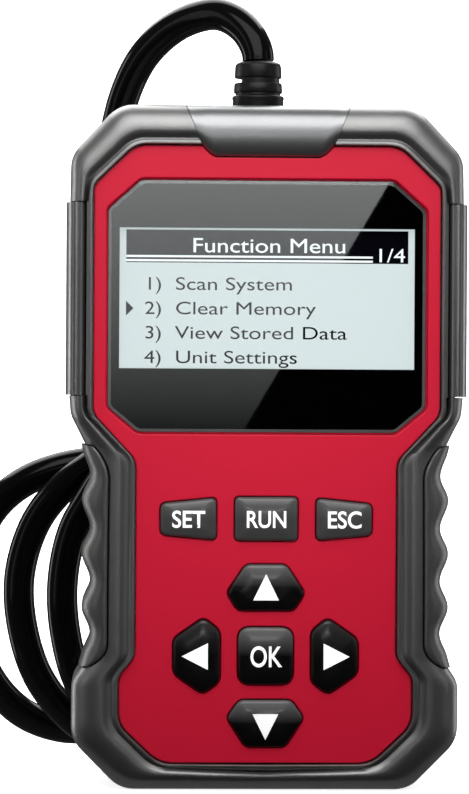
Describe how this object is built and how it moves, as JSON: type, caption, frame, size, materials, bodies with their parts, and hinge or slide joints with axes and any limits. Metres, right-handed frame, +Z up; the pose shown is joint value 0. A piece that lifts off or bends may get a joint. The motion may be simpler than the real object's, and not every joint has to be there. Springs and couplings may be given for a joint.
{
  "type": "obd code reader",
  "caption": "Handheld vehicle diagnostic code reader: upright case with display, arrow keypad, side grips and a lead to a 16-way D-shaped plug.",
  "frame": {"origin": "centre of the case's flat bottom end, midway between the front crest of the bumper and the back of the cover", "axes": "+X to the right seen from the front, +Y from the front face to the back, +Z up towards the lead's strain relief"},
  "size_m": [0.126, 0.0985, 0.1926],
  "materials": {
    "bumper": "fine-grained dark grey plastic with a satin sheen",
    "grip": "soft-touch dark grey over-moulding",
    "trim": "smooth satin grey plastic",
    "panel": "satin red plastic",
    "lens": "clear acrylic window, polished",
    "mask": "black print behind the window",
    "lcd": "pale blue-white liquid crystal panel",
    "diffuser": "white light-guide",
    "inner_plastic": "plain black plastic",
    "board": "green solder mask",
    "steel": "plain steel",
    "silicone": "grey silicone",
    "silicone_pill": "carbon-filled silicone",
    "key": "domed gloss black key with a white printed symbol",
    "label": "blank silver label",
    "cord": "smooth black jacket with a soft sheen",
    "connector": "cream nylon",
    "plug": "black moulded plastic",
    "blade": "brass blade"
  },
  "bodies": {
    "root": {"bumper": "bumper", "right_grip": "grip", "left_grip": "grip", "right_side_insert": "trim", "left_side_insert": "trim", "top_cap": "trim", "front_panel": "panel", "display_lens": "lens", "lens_mask": "mask", "lcd_glass": "lcd", "backlight_panel": "diffuser", "lcd_frame": "inner_plastic", "circuit_board": "board", "main_chip": "inner_plastic", "crystal_can": "steel", "power_inductor": "inner_plastic", "power_capacitor": "steel", "buzzer": "inner_plastic", "keypad_mat": "silicone", "rear_cover": "bumper", "rating_plate": "label", "cable_boot": "cord", "cable_header": "connector", "cable_socket": "connector", "inner_lead": "cord", "lead": "cord", "plug_boot": "cord", "plug_shell": "plug", "plug_contact_block": "inner_plastic", "board_screw_right": "steel", "case_screw_right_lower": "steel", "case_screw_right_upper": "steel", "board_screw_left": "steel", "case_screw_left_lower": "steel", "case_screw_left_upper": "steel", "plug_blade_2": "blade", "plug_blade_4": "blade", "plug_blade_5": "blade", "plug_blade_6": "blade", "plug_blade_7": "blade", "plug_blade_10": "blade", "plug_blade_14": "blade", "plug_blade_15": "blade", "plug_blade_16": "blade"},
    "menu_key": {"key_menu": "key", "contact_pill_menu": "silicone_pill"},
    "check_key": {"key_check": "key", "contact_pill_check": "silicone_pill"},
    "back_key": {"key_back": "key", "contact_pill_back": "silicone_pill"},
    "up_key": {"key_up": "key", "contact_pill_up": "silicone_pill"},
    "down_key": {"key_down": "key", "contact_pill_down": "silicone_pill"},
    "left_key": {"key_left": "key", "contact_pill_left": "silicone_pill"},
    "right_key": {"key_right": "key", "contact_pill_right": "silicone_pill"},
    "ok_key": {"key_ok": "key", "contact_pill_ok": "silicone_pill"}
  },
  "joints": [
    {"name": "menu_press", "type": "slide", "parent": "root", "child": "menu_key", "axis": [0, 1, 0], "range_m": [0, 0.0008], "stiffness_N_per_m": 1200, "springref_m": -0.0004},
    {"name": "check_press", "type": "slide", "parent": "root", "child": "check_key", "axis": [0, 1, 0], "range_m": [0, 0.0008], "stiffness_N_per_m": 1200, "springref_m": -0.0004},
    {"name": "back_press", "type": "slide", "parent": "root", "child": "back_key", "axis": [0, 1, 0], "range_m": [0, 0.0008], "stiffness_N_per_m": 1200, "springref_m": -0.0004},
    {"name": "up_press", "type": "slide", "parent": "root", "child": "up_key", "axis": [0, 1, 0], "range_m": [0, 0.0008], "stiffness_N_per_m": 1200, "springref_m": -0.0004},
    {"name": "down_press", "type": "slide", "parent": "root", "child": "down_key", "axis": [0, 1, 0], "range_m": [0, 0.0008], "stiffness_N_per_m": 1200, "springref_m": -0.0004},
    {"name": "left_press", "type": "slide", "parent": "root", "child": "left_key", "axis": [0, 1, 0], "range_m": [0, 0.0008], "stiffness_N_per_m": 1200, "springref_m": -0.0004},
    {"name": "right_press", "type": "slide", "parent": "root", "child": "right_key", "axis": [0, 1, 0], "range_m": [0, 0.0008], "stiffness_N_per_m": 1200, "springref_m": -0.0004},
    {"name": "ok_press", "type": "slide", "parent": "root", "child": "ok_key", "axis": [0, 1, 0], "range_m": [0, 0.0008], "stiffness_N_per_m": 1200, "springref_m": -0.0004}
  ]
}
